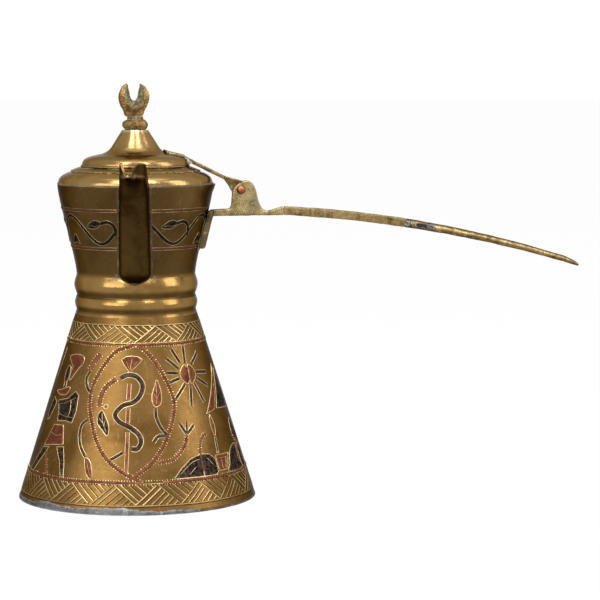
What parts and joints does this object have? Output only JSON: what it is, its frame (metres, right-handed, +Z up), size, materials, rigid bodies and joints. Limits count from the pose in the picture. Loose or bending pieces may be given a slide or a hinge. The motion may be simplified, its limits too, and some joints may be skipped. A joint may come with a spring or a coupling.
{
  "type": "coffee pot",
  "caption": "Conical sheet-brass coffee pot with a flared neck, a beak spout, a long bar handle, inlaid ornament and a hinged lid with a crescent finial.",
  "frame": {"origin": "centre of the base plate's underside, on the surface the pot stands on", "axes": "+Z up along the pot's axis, +X along the handle, spout towards -Y"},
  "size_m": [0.2491, 0.1134, 0.1821],
  "materials": {
    "sheet_brass": "aged sheet brass, polished on the raised parts and brown in the hollows",
    "cast_brass": "rough cast brass, filed, with small pits and verdigris near the joints",
    "tin_solder": "dull grey tin solder",
    "copper_inlay": "tarnished red copper wire and plate",
    "dark_inlay": "blackened silver wire and plate",
    "copper_rivet": "bare copper, hammered"
  },
  "bodies": {
    "pot": {"skirt": "sheet_brass", "base_plate": "sheet_brass", "neck": "sheet_brass", "shoulder": "sheet_brass", "spout": "sheet_brass", "handle_bracket": "cast_brass", "handle_bar": "cast_brass", "handle_tail": "cast_brass", "base_solder_bead": "tin_solder", "waist_solder_ring": "tin_solder", "rim_solder_line": "tin_solder", "spout_solder_seam": "tin_solder", "bracket_solder_film": "tin_solder", "splice_solder_patch": "tin_solder", "frieze_line_wires": "copper_inlay", "neck_line_wires": "copper_inlay", "medallion_wires": "copper_inlay", "lotus_staffs": "copper_inlay", "copper_spray_plates": "copper_inlay", "sun_discs": "copper_inlay", "pyramid_lit_plates": "copper_inlay", "figure_copper_plates": "copper_inlay", "vine_stem_wire": "dark_inlay", "vine_leaf_plates": "dark_inlay", "serpent_wires": "dark_inlay", "dark_spray_plates": "dark_inlay", "sun_ray_wires": "dark_inlay", "pyramid_shade_plates": "dark_inlay", "figure_dark_plates": "dark_inlay", "hinge_rivet": "copper_rivet"},
    "lid": {"lid_cap": "sheet_brass", "lid_collar": "sheet_brass", "finial": "cast_brass", "finial_rove": "cast_brass", "lid_strap": "cast_brass", "strap_solder_lump": "tin_solder"}
  },
  "joints": [
    {"name": "lid_hinge", "type": "hinge", "parent": "pot", "child": "lid", "pos_m": [0.0463, 0, 0.1354], "axis": [0, 1, 0], "range_deg": [0, 140]}
  ]
}
